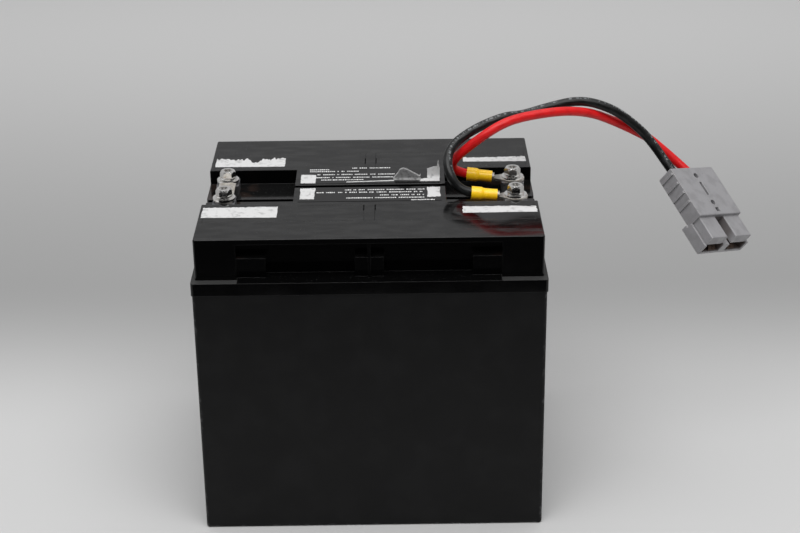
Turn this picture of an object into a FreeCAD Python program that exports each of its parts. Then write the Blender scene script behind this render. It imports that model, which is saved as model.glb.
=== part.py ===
import FreeCAD, Part
import Sketcher
import math
import os
import re

# Battery pack of two equal sealed lead-acid blocks standing side by side and joined in series.
# The front block is built about its own middle line and moved forward by half the pitch.
# The rear block is the front one turned half round about the upright axis of the pack.
# X runs along the blocks, Y from the front block to the rear one, Z up from the floor.

doc = FreeCAD.newDocument("battery_pack")
sheet = doc.addObject("Spreadsheet::Sheet", "Sizes")
names = []


def enter(name, text):
    """Write one row of the sheet: the name, and the number or formula that carries the name."""
    row = len(names) + 1
    names.append(name)
    sheet.set("A%d" % row, name)
    sheet.set("B%d" % row, text)
    sheet.setAlias("B%d" % row, name)


# Driving dimensions, in millimetres and degrees
sizes = {
    # Blocks
    "block_length": 181,
    "block_width": 77,
    "block_height": 166,
    "block_gap": 0.5,
    # Container
    "container_inset": 0.5,
    "container_wall": 3,
    "container_floor": 3,
    "container_corner": 1.8,
    "container_foot": 1.2,
    "partition": 1.5,
    # Lid
    "lid_height": 29,
    "skirt_height": 6.8,
    "skirt_corner": 1.5,
    "lid_end_inset": 2,
    "lid_outer_inset": 4.5,
    "lid_inner_inset": 1.5,
    "lid_corner": 1.2,
    "lid_edge": 0.6,
    "lid_wall": 2.5,
    "lid_top": 3,
    # Hand-grip recess in the outer long side of the lid
    "grip_end_margin": 21.3,
    "grip_depth": 9,
    "grip_roof": 3,
    "grip_block_length": 14.7,
    "grip_block_height": 10.5,
    "grip_block_reach": 6,
    "grip_rib": 1.4,
    "grip_rib_reach": 8,
    # Terminal wells and terminals
    "well_length": 48.1,
    "well_wall": 2.8,
    "well_depth": 8,
    "terminal_end_offset": 13,
    "terminal_side_offset": 13,
    "terminal_head": 12,
    "terminal_head_corner": 1,
    "terminal_rise": 5.5,
    "post_diameter": 9,
    "post_clearance": 0.15,
    "seal_section": 1.7,
    "seal_clearance": 0.05,
    # Vent troughs, nozzles, valve caps and covers
    "vent_bridge": 5.4,
    "vent_end_margin": 2.5,
    "vent_width": 22,
    "vent_ledge": 1.5,
    "vent_depth": 8,
    "cover_thickness": 1.6,
    "cover_clearance": 0.15,
    "pry_length": 14,
    "pry_width": 0.4,
    "pry_offset": 3,
    "nozzle_diameter": 8,
    "nozzle_bore": 5,
    "nozzle_height": 4,
    "cap_diameter": 10.5,
    "cap_clearance": 0.05,
    # Plates, mats and straps of one cell
    "positive_thickness": 2.7,
    "negative_thickness": 2,
    "stack_clearance": 0.55,
    "plate_side_clearance": 2,
    "plate_headroom": 19,
    "mat_side_clearance": 0.5,
    "mat_rise": 2,
    "plate_lug_width": 8,
    "plate_lug_height": 5,
    "strap_width": 10,
    "strap_height": 8,
    "strap_clearance": 1,
    "weld_diameter": 6.5,
    "weld_clearance": 0.05,
    # Joining tape between the containers
    "tape_width": 25,
    "tape_top_margin": 15,
    "tape_bottom": 12,
    "tape_offset": 50,
    # Labels on the lids
    "label_end_gap": 2.4,
    "label_width": 20,
    "label_edge": 0.6,
    "label_thickness": 0.15,
    "paper_thickness": 0.12,
    # Bolts and washers
    "bolt_diameter": 5,
    "bolt_length": 12,
    "bolt_head_width": 7.6,
    "bolt_head_height": 3.6,
    "bolt_dish": 4.4,
    "bolt_dish_depth": 0.7,
    "bolt_cross": 1,
    "bolt_cross_depth": 1.8,
    "bolt_clearance": 0.1,
    "washer_clearance": 0.2,
    "flat_washer_diameter": 12,
    "flat_washer_thickness": 1,
    "spring_washer_diameter": 9,
    "spring_washer_thickness": 1.3,
    "spring_washer_slit": 0.8,
    # Series link and ring lugs share one thickness, so that all four bolts seat at one level
    "tongue_thickness": 1.2,
    "link_width": 9,
    "link_overhang": 5,
    "link_corner": 1.5,
    "lug_diameter": 13,
    "lug_neck": 4.6,
    "lug_shoulder": 10.5,
    "lug_shoulder_start": 2.5,
    "positive_lug_reach": 9.9,
    "negative_lug_reach": 8.6,
    "lug_axis_rise": 1.1,
    "lug_tilt": 5,
    "positive_lug_turn": 6,
    "negative_lug_turn": 1,
    "barrel_diameter": 4.6,
    "barrel_length": 10.4,
    "sleeve_setback": 1.2,
    "sleeve_length": 13.8,
    "sleeve_wall": 0.8,
    "sleeve_mouth_wall": 1.15,
    "sleeve_mouth_length": 5.2,
    "sleeve_flare_length": 1.6,
    "sleeve_clearance": 0.05,
    "cable_diameter": 5,
    "cable_straight": 10,
    # Connector, with its own X across, Y from the mating end to the rear and Z out of the wide face
    "connector_x": 97.1,
    "connector_y": 28,
    "connector_z": -3.7,
    "connector_yaw": 39.3,
    "connector_pitch": 12.4,
    "connector_roll": 35.4,
    "housing_width": 36.8,
    "housing_thickness": 10.6,
    "housing_length": 32.8,
    "housing_bevel": 1.2,
    "housing_edge": 0.6,
    "finger_start": 2.6,
    "finger_pitch": 6.3,
    "finger_width": 1.5,
    "finger_depth": 0.9,
    "hood_length": 15.2,
    "hood_drop": 3.8,
    "hood_wall": 3,
    "hood_floor": 1.4,
    "cheek_thickness": 1.5,
    "cheek_height": 7.2,
    "web_width": 5,
    "tongue_start": 3.6,
    "tongue_gap": 0.3,
    "tongue_length": 14.2,
    "tongue_drop": 1.7,
    "tongue_depth": 5.8,
    "entry_start": 2.4,
    "housing_wall": 3.5,
    "housing_skin": 1.4,
    "entry_depth": 24,
    "eye_diameter": 3.4,
    "eye_rear": 5.8,
    "eye_front": 24.5,
    "eye_depth": 6,
    "groove_start": 10.3,
    "groove_length": 9,
    "groove_width": 2,
    "pin_hole": 2.8,
    "pin_hole_start": 28,
    "pole_offset": 8,
    "contact_barrel": 7.5,
    "contact_barrel_start": 10,
    "contact_barrel_length": 10,
    "blade_width": 8,
    "blade_thickness": 2,
    "blade_length": 24,
    "blade_clearance": 0.1,
    "leaf_width": 6,
    "leaf_length": 13,
    "leaf_thickness": 0.6,
    "leaf_radius": 10,
    "leaf_setback": 1.6,
}

# Dimensions that follow from others
rules = {
    # Blocks
    "block_pitch": "block_width + block_gap",
    "half_length": "block_length / 2",
    "half_width": "block_width / 2",
    "skirt_bottom": "block_height - lid_height",
    # Container
    "container_half_length": "half_length - container_inset",
    "container_half_width": "half_width - container_inset",
    "cells_half_length": "container_half_length - container_wall",
    "cells_half_width": "container_half_width - container_wall",
    "cell_length": "(2 * cells_half_length - 5 * partition) / 6",
    "cell_pitch": "cell_length + partition",
    # Lid
    "skirt_top": "skirt_bottom + skirt_height",
    "lid_half_length": "half_length - lid_end_inset",
    "lid_outer": "half_width - lid_outer_inset",
    "lid_inner": "half_width - lid_inner_inset",
    "grip_half_length": "lid_half_length - grip_end_margin",
    # Hand-grip recess in the outer long side of the lid
    "grip_back": "lid_outer - grip_depth",
    "cavity_outer": "grip_back - lid_wall",
    "cavity_inner": "lid_inner - lid_wall",
    # Terminal wells and terminals
    "well_floor": "block_height - well_depth",
    "well_width": "lid_inner - vent_width / 2 - well_wall",
    "label_half_length": "lid_half_length - well_length - label_end_gap",
    "terminal_x": "half_length - terminal_end_offset",
    "terminal_y": "half_width - terminal_side_offset",
    "terminal_top": "well_floor + terminal_rise",
    "seal_bore": "post_diameter / 2 + seal_section + 2 * seal_clearance",
    # Vent troughs, nozzles, valve caps and covers
    "vent_start": "vent_bridge / 2",
    "vent_end": "lid_half_length - vent_end_margin",
    "vent_floor": "block_height - vent_depth",
    "cover_bottom": "block_height - cover_thickness",
    "cavity_roof": "min(vent_floor; well_floor) - lid_top",
    # Plates, mats and straps of one cell
    "plate_width": "2 * (cells_half_width - plate_side_clearance)",
    "plate_top": "skirt_bottom - plate_headroom",
    "stack_lead": "4 * positive_thickness + 5 * negative_thickness",
    "mat_thickness": "(cell_length - stack_clearance - stack_lead) / 8",
    "plate_pitch": "positive_thickness + negative_thickness + 2 * mat_thickness",
    "stack_length": "4 * plate_pitch + negative_thickness",
    "cell_start": "-cells_half_length",
    "stack_start": "cell_start + (cell_length - stack_length) / 2",
    "plate_bottom": "container_floor + mat_thickness",
    "strap_bottom": "plate_top + plate_lug_height",
    "strap_top": "strap_bottom + strap_height",
    "strap_middle": "strap_bottom + strap_height / 2",
    # Series link and ring lugs share one thickness, so that all four bolts seat at one level
    "washer_level": "terminal_top + tongue_thickness",
    "spring_level": "washer_level + flat_washer_thickness",
    "bolt_level": "spring_level + spring_washer_thickness",
    "bolt_hole": "bolt_diameter + 2 * washer_clearance",
    "sleeve_diameter": "barrel_diameter + 2 * (sleeve_clearance + sleeve_wall)",
    "sleeve_mouth_diameter": "cable_diameter + 2 * (sleeve_clearance + sleeve_mouth_wall)",
    # Connector, with its own X across, Y from the mating end to the rear and Z out of the wide face
    "housing_half": "housing_width / 2",
    "housing_top": "housing_thickness / 2",
    "hood_bottom": "-housing_top - hood_drop",
    "tongue_width": "housing_half - cheek_thickness - tongue_gap - tongue_start",
    "entry_width": "housing_half - housing_wall - entry_start",
    "entry_height": "housing_thickness - 2 * housing_skin",
    "tongue_top": "housing_top - tongue_drop",
    "tongue_bottom": "tongue_top - tongue_depth",
    "blade_top": "tongue_bottom - blade_clearance",
    "blade_bottom": "blade_top - blade_thickness",
    "blade_start": "contact_barrel_start + contact_barrel_length",
    "leaf_front": "housing_length + leaf_setback + leaf_length",
}

for name, number in sizes.items():
    enter(name, str(number))
for name, rule in rules.items():
    enter(name, "=" + rule)
doc.recompute()


def formula(rule):
    """Turn each sheet name in a rule into a reference to its cell."""

    def cell_of(match):
        word = match.group(0)
        return "Sizes." + word if word in names else word

    return re.sub(r"[a-z_]+", cell_of, rule)


def bind(item, prop, rule):
    """Tie a property to a rule of sheet names."""
    item.setExpression(prop, formula(rule))


def value(name):
    """Number that a sheet name stands for now."""
    return float(sheet.get(name))


def box(name, x, y, z):
    """Block between two limits on each axis."""
    item = doc.addObject("Part::Box", name)
    for axis, prop, limits in zip("xyz", ("Length", "Width", "Height"), (x, y, z)):
        bind(item, prop, "(%s) - (%s)" % (limits[1], limits[0]))
        bind(item, "Placement.Base." + axis, limits[0])
    return item


def rod(name, radius, height, x="0", y="0", z="0"):
    """Upright cylinder standing on the point given."""
    item = doc.addObject("Part::Cylinder", name)
    bind(item, "Radius", radius)
    bind(item, "Height", height)
    for axis, rule in zip("xyz", (x, y, z)):
        bind(item, "Placement.Base." + axis, rule)
    return item


def turn(item, axis, angle):
    """Turn an item about an axis through its own origin by a rule in degrees."""
    item.Placement.Rotation = FreeCAD.Rotation(axis, 1)
    bind(item, "Placement.Rotation.Angle", angle)
    return item


def fuse(name, items):
    """One solid from several that overlap or share faces."""
    item = doc.addObject("Part::MultiFuse", name)
    item.Shapes = items
    item.Refine = True
    return item


def cut(name, base, tools):
    """Base less the tools."""
    item = doc.addObject("Part::Cut", name)
    item.Base = base
    item.Tool = tools[0] if len(tools) == 1 else fuse(name + "_tools", tools)
    return item


def group(name, items):
    """Several separate solids kept together."""
    item = doc.addObject("Part::Compound", name)
    item.Links = items
    return item


def copy_at(name, source, x="0", y="0", z="0"):
    """Copy of an item moved by three rules."""
    item = group(name, [source])
    for axis, rule in zip("xyz", (x, y, z)):
        bind(item, "Placement.Base." + axis, rule)
    return item


def mirrored(name, source, normal):
    """Mirror image of an item in a plane through the origin."""
    item = doc.addObject("Part::Mirroring", name)
    item.Source = source
    item.Normal = normal
    return item


def body(name):
    """Empty body for a piece made of sketched features."""
    return doc.addObject("PartDesign::Body", name)


def sketch_on(owner, name, role, offset):
    """Empty sketch on one of the body's own planes, moved by three rules in the plane's directions."""
    sketch = owner.newObject("Sketcher::SketchObject", name)
    plane = [p for p in owner.Origin.OriginFeatures if p.Role == role][0]
    sketch.AttachmentSupport = [(plane, "")]
    sketch.MapMode = "FlatFace"
    for axis, rule in zip("xyz", offset):
        bind(sketch, "AttachmentOffset.Base." + axis, rule)
    return sketch


def named(sketch, constraint, name, rule):
    """Add a dimension to a sketch and tie it to a rule."""
    index = sketch.addConstraint(constraint)
    sketch.renameConstraint(index, name)
    bind(sketch, "Constraints." + name, rule)


def rectangle(owner, name, x, y, level):
    """Sketch of a level rectangle whose near left corner is the sketch's origin."""
    sketch = sketch_on(owner, name, "XY_Plane", (x[0], y[0], level))
    corners = [FreeCAD.Vector(*c) for c in ((0, 0), (10, 0), (10, 10), (0, 10))]
    for k in range(4):
        sketch.addGeometry(Part.LineSegment(corners[k], corners[(k + 1) % 4]))
    for k in range(4):
        sketch.addConstraint(Sketcher.Constraint("Coincident", k, 2, (k + 1) % 4, 1))
    for k in (0, 2):
        sketch.addConstraint(Sketcher.Constraint("Horizontal", k))
        sketch.addConstraint(Sketcher.Constraint("Vertical", k + 1))
    sketch.addConstraint(Sketcher.Constraint("Coincident", 0, 1, -1, 1))
    named(sketch, Sketcher.Constraint("DistanceX", 0, 1, 0, 2, 10), "across", "(%s) - (%s)" % (x[1], x[0]))
    named(sketch, Sketcher.Constraint("DistanceY", 1, 1, 1, 2, 10), "along", "(%s) - (%s)" % (y[1], y[0]))
    return sketch


def circle(owner, name, diameter, role, offset):
    """Sketch of a circle about the sketch's origin."""
    sketch = sketch_on(owner, name, role, offset)
    sketch.addGeometry(Part.Circle(FreeCAD.Vector(), FreeCAD.Vector(0, 0, 1), 5))
    sketch.addConstraint(Sketcher.Constraint("Coincident", 0, 3, -1, 1))
    named(sketch, Sketcher.Constraint("Diameter", 0, 10), "bore", diameter)
    return sketch


def feature(owner, kind, name, sketch, length):
    """Pad away from the sketch's plane, or pocket into what lies behind it."""
    item = owner.newObject("PartDesign::" + kind, name)
    item.Profile = sketch
    bind(item, "Length", length)
    sketch.Visibility = False
    return item


def pad(owner, name, x, y, z):
    """Block added to a body."""
    sketch = rectangle(owner, name + "_sketch", x, y, z[0])
    return feature(owner, "Pad", name, sketch, "(%s) - (%s)" % (z[1], z[0]))


def pocket(owner, name, x, y, z):
    """Block cut from a body."""
    sketch = rectangle(owner, name + "_sketch", x, y, z[1])
    return feature(owner, "Pocket", name, sketch, "(%s) - (%s)" % (z[1], z[0]))


def repeated(owner, name, source, count, spacing, axis="H_Axis"):
    """Row of equal features along the first direction of the source's sketch, or along another axis."""
    item = owner.newObject("PartDesign::LinearPattern", name)
    item.Originals = [source]
    item.Direction = (source.Profile[0], [axis])
    item.Occurrences = count
    bind(item, "Length", "%d * (%s)" % (count - 1, spacing))
    owner.Tip = item
    return item


def eased(owner, name, kind, prop, rule, wanted):
    """Fillet or chamfer on the edges of the body so far that pass a test."""
    doc.recompute()
    base = owner.Tip
    edges = ["Edge%d" % (k + 1) for k, edge in enumerate(base.Shape.Edges) if wanted(edge)]
    item = owner.newObject("PartDesign::" + kind, name)
    item.Base = (base, edges)
    bind(item, prop, rule)
    return item


def upright(edge, low, high):
    """True for a straight edge that stands from one level to the other."""
    box_of = edge.BoundBox
    flat = max(box_of.XLength, box_of.YLength) < 1e-6
    return flat and abs(box_of.ZMin - low) < 1e-6 and abs(box_of.ZMax - high) < 1e-6


def level(edge, height):
    """True for an edge that lies wholly at one height."""
    return abs(edge.BoundBox.ZMin - height) < 1e-6 and abs(edge.BoundBox.ZMax - height) < 1e-6


nodes = []


def node(label, item):
    """Register a finished sub-part under the name of its file."""
    item.Label = label
    nodes.append(item)
    return item


def front(item):
    """Move a piece of the front block from the middle of the pack to its place."""
    bind(item, "Placement.Base.y", "-block_pitch / 2")
    return item


def block_node(label, item):
    """Register a piece of the front block and its twin in the rear block."""
    node("front_" + label, front(item))
    twin = group("rear_" + label, [item])
    twin.Placement.Rotation = FreeCAD.Rotation(FreeCAD.Vector(0, 0, 1), 180)
    node("rear_" + label, twin)


first_cell = ("cell_start", "cell_start + cell_length")
middle_of_first_cell = "cell_start + cell_length / 2"

# Container: one moulding with six cells, welded to the lid round its top edge
container = body("container")
pad(container, "container_outside", ("-container_half_length", "container_half_length"),
    ("-container_half_width", "container_half_width"), ("0", "skirt_bottom"))
eased(container, "container_corners", "Fillet", "Radius", "container_corner",
      lambda e: upright(e, 0, value("skirt_bottom")))
eased(container, "container_feet", "Fillet", "Radius", "container_foot", lambda e: level(e, 0))
cell = pocket(container, "cell", first_cell, ("-cells_half_width", "cells_half_width"),
              ("container_floor", "skirt_bottom"))
repeated(container, "cells", cell, 6, "cell_pitch")
for side, start, count in (("-", 1, 3), ("", 2, 2)):
    tag = "outer" if side else "inner"
    hole = circle(container, "weld_hole_%s_sketch" % tag, "weld_diameter + 2 * weld_clearance", "YZ_Plane",
                  (side + "terminal_y", "strap_middle", "cell_start + %d * cell_pitch" % start))
    first_hole = feature(container, "Pocket", "weld_hole_" + tag, hole, "partition")
    repeated(container, "weld_holes_" + tag, first_hole, count, "2 * cell_pitch", "N_Axis")
block_node("container", container)

# Lid: skirt on the container's edge, a narrower top with the grip recess, wells and vent troughs
lid = body("lid")
pad(lid, "skirt", ("-half_length", "half_length"), ("-half_width", "half_width"),
    ("skirt_bottom", "skirt_top"))
pad(lid, "crown", ("-lid_half_length", "lid_half_length"), ("-lid_outer", "lid_inner"),
    ("skirt_top", "block_height"))
eased(lid, "skirt_corners", "Fillet", "Radius", "skirt_corner",
      lambda e: upright(e, value("skirt_bottom"), value("skirt_top")))
eased(lid, "crown_corners", "Fillet", "Radius", "lid_corner",
      lambda e: upright(e, value("skirt_top"), value("block_height")))
eased(lid, "crown_edge", "Fillet", "Radius", "lid_edge", lambda e: level(e, value("block_height")))
grip_levels = ("skirt_top", "block_height - grip_roof")
pocket(lid, "grip", ("-grip_half_length", "grip_half_length"), ("-lid_outer - 1", "-grip_back"),
       grip_levels)
block_starts = ("-grip_half_length", "-grip_block_length / 2", "grip_half_length - grip_block_length")
for k, start in enumerate(block_starts):
    pad(lid, "grip_block_%d" % (k + 1), (start, "%s + grip_block_length" % start),
        ("-grip_back - grip_block_reach", "-grip_back"), ("skirt_top", "skirt_top + grip_block_height"))
pad(lid, "grip_rib_wall", ("-grip_rib / 2", "grip_rib / 2"), ("-grip_back - grip_rib_reach", "-grip_back"),
    grip_levels)
wells = (("left", ("-lid_half_length - 1", "-lid_half_length + well_length")),
         ("right", ("lid_half_length - well_length", "lid_half_length + 1")))
troughs = {"left": ("-vent_end", "-vent_start"), "right": ("vent_start", "vent_end")}
for side, span in wells:
    pocket(lid, "well_" + side, span, ("lid_inner - well_width", "lid_inner + 1"),
           ("well_floor", "block_height"))
    vent = troughs[side]
    pocket(lid, "cover_seat_" + side, vent, ("-vent_width / 2", "vent_width / 2"),
           ("cover_bottom", "block_height"))
    pocket(lid, "trough_" + side, (vent[0] + " + vent_ledge", vent[1] + " - vent_ledge"),
           ("-vent_width / 2 + vent_ledge", "vent_width / 2 - vent_ledge"), ("vent_floor", "block_height"))
nozzle_ring = circle(lid, "nozzle_sketch", "nozzle_diameter", "XY_Plane",
                     (middle_of_first_cell, "0", "vent_floor"))
nozzle = feature(lid, "Pad", "nozzle", nozzle_ring, "nozzle_height")
repeated(lid, "nozzles", nozzle, 6, "cell_pitch")
cavity = pocket(lid, "cavity", first_cell, ("-cells_half_width", "cells_half_width"),
                ("skirt_bottom", "skirt_top - lid_wall"))
repeated(lid, "cavities", cavity, 6, "cell_pitch")
dome = pocket(lid, "dome", first_cell, ("-cavity_outer", "cavity_inner"), ("skirt_bottom", "cavity_roof"))
repeated(lid, "domes", dome, 6, "cell_pitch")
relief = pocket(lid, "relief", first_cell, ("-cavity_outer", "-vent_width / 2 - lid_wall"),
                ("skirt_bottom", "block_height - lid_top"))
repeated(lid, "reliefs", relief, 6, "cell_pitch")
middle = pocket(lid, "middle_relief", ("-partition / 2 - cell_length", "-partition / 2"),
                ("vent_width / 2 + lid_wall", "cavity_inner"), ("skirt_bottom", "block_height - lid_top"))
repeated(lid, "middle_reliefs", middle, 2, "cell_pitch")
bore_ring = circle(lid, "vent_bore_sketch", "nozzle_bore", "XY_Plane",
                   (middle_of_first_cell, "0", "vent_floor + nozzle_height"))
vent_bore = feature(lid, "Pocket", "vent_bore", bore_ring, "nozzle_height + lid_top + 1")
repeated(lid, "vent_bores", vent_bore, 6, "cell_pitch")
for bore, diameter, depth in (("post_hole", "post_diameter + 2 * post_clearance", "lid_top + 1"),
                              ("seal_seat", "2 * seal_bore", "seal_section + 2 * seal_clearance")):
    ring = circle(lid, bore + "_sketch", diameter, "XY_Plane", ("-terminal_x", "terminal_y", "well_floor"))
    repeated(lid, bore + "s", feature(lid, "Pocket", bore, ring, depth), 2, "2 * terminal_x")
block_node("lid", lid)

# Vent covers: flush strips on the ledge of each trough, with a slot at the inner end to lift them by
cover = body("vent_cover")
pad(cover, "strip", ("vent_start + cover_clearance", "vent_end - cover_clearance"),
    ("-vent_width / 2 + cover_clearance", "vent_width / 2 - cover_clearance"),
    ("cover_bottom", "block_height"))
pocket(cover, "pry_slot", ("vent_start", "vent_start + cover_clearance + pry_width"),
       ("-pry_offset", "pry_length - pry_offset"), ("cover_bottom", "block_height"))
other_cover = mirrored("vent_cover_left", cover, FreeCAD.Vector(1, 0, 0))
block_node("vent_covers", group("vent_covers", [cover, other_cover]))

# Valve caps: rubber cups pressed over the nozzles and held down by the covers
cap_place = (middle_of_first_cell, "0", "vent_floor")
cap_outside = rod("cap_outside", "cap_diameter / 2", "cover_bottom - vent_floor", *cap_place)
cap_bore = rod("cap_bore", "nozzle_diameter / 2 + cap_clearance", "nozzle_height", *cap_place)
cap = cut("valve_cap", cap_outside, [cap_bore])
caps = [copy_at("valve_cap_%d" % (k + 1), cap, "%d * cell_pitch" % k) for k in range(6)]
block_node("valve_caps", group("valve_caps", caps))


def plate_group(name, count, thickness, offset, side):
    """Plates of one polarity with their lugs, cast together by a strap on one side of the cell."""
    strap_y = side + "terminal_y"
    lug_limits = (strap_y + " - plate_lug_width / 2", strap_y + " + plate_lug_width / 2")
    items = []
    for k in range(count):
        start = "stack_start + %s + %d * plate_pitch" % (offset, k)
        span = (start, "%s + %s" % (start, thickness))
        items.append(box("%s_plate_%d" % (name, k + 1), span, ("-plate_width / 2", "plate_width / 2"),
                         ("plate_bottom", "plate_top")))
        items.append(box("%s_lug_%d" % (name, k + 1), span, lug_limits, ("plate_top", "strap_bottom")))
    strap_x = ("cell_start + strap_clearance", "cell_start + cell_length - strap_clearance")
    strap_sides = (strap_y + " - strap_width / 2", strap_y + " + strap_width / 2")
    items.append(box(name + "_strap", strap_x, strap_sides, ("strap_bottom", "strap_top")))
    return fuse(name, items)


def six_cells(name, odd):
    """One group in each cell: as built in the odd cells, swapped side to side in the even ones."""
    even = mirrored(name + "_even", odd, FreeCAD.Vector(0, 1, 0))
    places = []
    for k in range(6):
        source = even if k % 2 else odd
        places.append(copy_at("%s_%d" % (name, k + 1), source, "%d * cell_pitch" % k))
    return group(name + "_row", places)


# Plates: four positive and five negative in each cell, polarity sides changing from cell to cell
positive = plate_group("positive_group", 4, "positive_thickness", "negative_thickness + mat_thickness", "")
negative = plate_group("negative_group", 5, "negative_thickness", "0", "-")
block_node("positive_plates", six_cells("positive_plates", positive))
block_node("negative_plates", six_cells("negative_plates", negative))

# Separator mats: one glass mat folded under and up both sides of each positive plate
mat_start = "stack_start + negative_thickness"
mat_side = ("-cells_half_width + mat_side_clearance", "cells_half_width - mat_side_clearance")
mat_end = mat_start + " + positive_thickness + 2 * mat_thickness"
mat_outside = box("mat_outside", (mat_start, mat_end), mat_side,
                  ("container_floor", "plate_top + mat_rise"))
mat_inside = box("mat_inside", (mat_start + " + mat_thickness", mat_end + " - mat_thickness"),
                 ("-cells_half_width", "cells_half_width"), ("plate_bottom", "plate_top + mat_rise"))
mat = cut("mat", mat_outside, [mat_inside])
mats = [copy_at("mat_%d" % (k + 1), mat, "%d * plate_pitch" % k) for k in range(4)]
cell_mats = group("cell_mats", mats)
mat_rows = [copy_at("cell_mats_%d" % (k + 1), cell_mats, "%d * cell_pitch" % k) for k in range(6)]
block_node("separator_mats", group("separator_mats", mat_rows))

# Intercell welds: lead run through the partitions from strap to strap
welds = []
for k in range(5):
    weld = rod("weld_%d" % (k + 1), "weld_diameter / 2", "partition + 2 * strap_clearance",
               "cell_start + cell_length - strap_clearance + %d * cell_pitch" % k,
               "terminal_y" if k % 2 else "-terminal_y", "strap_middle")
    welds.append(turn(weld, FreeCAD.Vector(0, 1, 0), "90"))
block_node("intercell_welds", group("intercell_welds", welds))

# Terminals: lead posts standing on the end straps, with a square head bored for the bolt
terminal = body("terminal")
post_ring = circle(terminal, "post_sketch", "post_diameter", "XY_Plane",
                   ("-terminal_x", "terminal_y", "strap_top"))
feature(terminal, "Pad", "post", post_ring, "well_floor - strap_top")
pad(terminal, "head", ("-terminal_x - terminal_head / 2", "-terminal_x + terminal_head / 2"),
    ("terminal_y - terminal_head / 2", "terminal_y + terminal_head / 2"), ("well_floor", "terminal_top"))
eased(terminal, "head_corners", "Fillet", "Radius", "terminal_head_corner",
      lambda e: upright(e, value("well_floor"), value("terminal_top")))
bolt_bore = circle(terminal, "bolt_bore_sketch", "bolt_diameter + 2 * bolt_clearance", "XY_Plane",
                   ("-terminal_x", "terminal_y", "terminal_top"))
feature(terminal, "Pocket", "bolt_bore", bolt_bore, "bolt_length")
block_node("positive_terminal", copy_at("terminal_left", terminal))
block_node("negative_terminal", copy_at("terminal_right", terminal, "2 * terminal_x"))

# Terminal seals: rubber rings round the posts under the heads
seals = []
for k, side in enumerate(("-", "")):
    seal = doc.addObject("Part::Torus", "seal_%d" % (k + 1))
    bind(seal, "Radius1", "(post_diameter + seal_section) / 2 + seal_clearance")
    bind(seal, "Radius2", "seal_section / 2")
    bind(seal, "Placement.Base.x", side + "terminal_x")
    bind(seal, "Placement.Base.y", "terminal_y")
    bind(seal, "Placement.Base.z", "well_floor - seal_section / 2 - seal_clearance")
    seals.append(seal)
block_node("terminal_seals", group("terminal_seals", seals))

# Joining tape: foam strips that hold the two containers together
tape_y = ("-block_gap / 2 - container_inset", "block_gap / 2 + container_inset")
tapes = []
for k, side in enumerate(("-", "")):
    middle_x = side + "tape_offset"
    tape_x = (middle_x + " - tape_width / 2", middle_x + " + tape_width / 2")
    tapes.append(box("tape_%d" % (k + 1), tape_x, tape_y,
                     ("tape_bottom", "skirt_bottom - tape_top_margin")))
node("joining_tape", group("joining_tape", tapes))

# Top labels: thin film on the strip of each lid between the wells and the seam
label = box("label", ("-label_half_length", "label_half_length"),
            ("lid_inner - lid_edge - label_edge - label_width", "lid_inner - lid_edge - label_edge"),
            ("block_height", "block_height + label_thickness"))
block_node("top_label", group("label_group", [label]))

# Label remnants: paper left on the lids and on the films. Each is placed by its distance from the lid's or
# film's end, its length, and two distances across the block from the middle line toward the seam.
strips = {
    "front": (("-", 1.5, 39, -5.8, 9.8), ("", 1.5, 38.5, -3.2, 7.2)),
    "rear": (("-", 2.5, 38.5, -5.8, 8.8), ("", 2, 35.5, -4.2, 5.8)),
}
patches = {
    "front": (("-", 0.4, 8.1, 18.8, 35.2), ("", 0.4, 7, 20.4, 35.2)),
    "rear": (("-", 0.4, 8.1, 20.8, 35.2), ("", 0.4, 10.1, 27.8, 33.8)),
}


def paper(name, block, side, end, inset, length, low, high, base):
    """Thin sheet of paper lying near one end of a lid or film of one block."""
    far = "%s(%s - %g)" % (side, end, inset)
    near = "%s(%s - %g)" % (side, end, inset + length)
    line = "%s(block_pitch / 2" % ("-" if block == "front" else "")
    limits = ["%s - %g)" % (line, v) for v in (low, high)]
    x = (far, near) if side else (near, far)
    y = limits if block == "front" else limits[::-1]
    return box(name, x, y, (base, base + " + paper_thickness"))


for block in ("front", "rear"):
    papers = []
    for k, place in enumerate(strips[block]):
        papers.append(paper("%s_strip_%d" % (block, k + 1), block, place[0], "lid_half_length", *place[1:],
                            "block_height"))
    for k, place in enumerate(patches[block]):
        papers.append(paper("%s_patch_%d" % (block, k + 1), block, place[0], "label_half_length",
                            *place[1:], "block_height + label_thickness"))
    node(block + "_label_remnants", group(block + "_label_remnants", papers))


def at_terminals(name, item, height):
    """Four copies of a piece, one over each terminal of the pack."""
    items = []
    for k, (x, y) in enumerate((("-", "-"), ("", "-"), ("-", ""), ("", ""))):
        items.append(copy_at("%s_%d" % (name, k + 1), item, x + "terminal_x",
                             y + "(block_pitch / 2 - terminal_y)", height))
    return group(name, items)


# Terminal bolts: hexagon heads with a dished, crossed top
hexagon = doc.addObject("Part::Prism", "hexagon")
hexagon.Polygon = 6
bind(hexagon, "Circumradius", "bolt_head_width / sqrt(3)")
bind(hexagon, "Height", "bolt_head_height")
crown_cone = doc.addObject("Part::Cone", "crown_cone")
bind(crown_cone, "Radius1", "bolt_head_width * 0.75")
bind(crown_cone, "Radius2", "bolt_head_width * 0.48")
bind(crown_cone, "Height", "bolt_head_height")
head = doc.addObject("Part::Common", "bolt_head")
head.Base = hexagon
head.Tool = crown_cone
shank = rod("shank", "bolt_diameter / 2", "bolt_length", "0", "0", "-bolt_length")
dish = rod("dish", "bolt_dish / 2", "bolt_dish_depth", "0", "0", "bolt_head_height - bolt_dish_depth")
cross_levels = ("bolt_head_height - bolt_cross_depth", "bolt_head_height")
cross_length = ("-bolt_dish / 2", "bolt_dish / 2")
cross_width = ("-bolt_cross / 2", "bolt_cross / 2")
cross_x = box("cross_x", cross_length, cross_width, cross_levels)
cross_y = box("cross_y", cross_width, cross_length, cross_levels)
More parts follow.
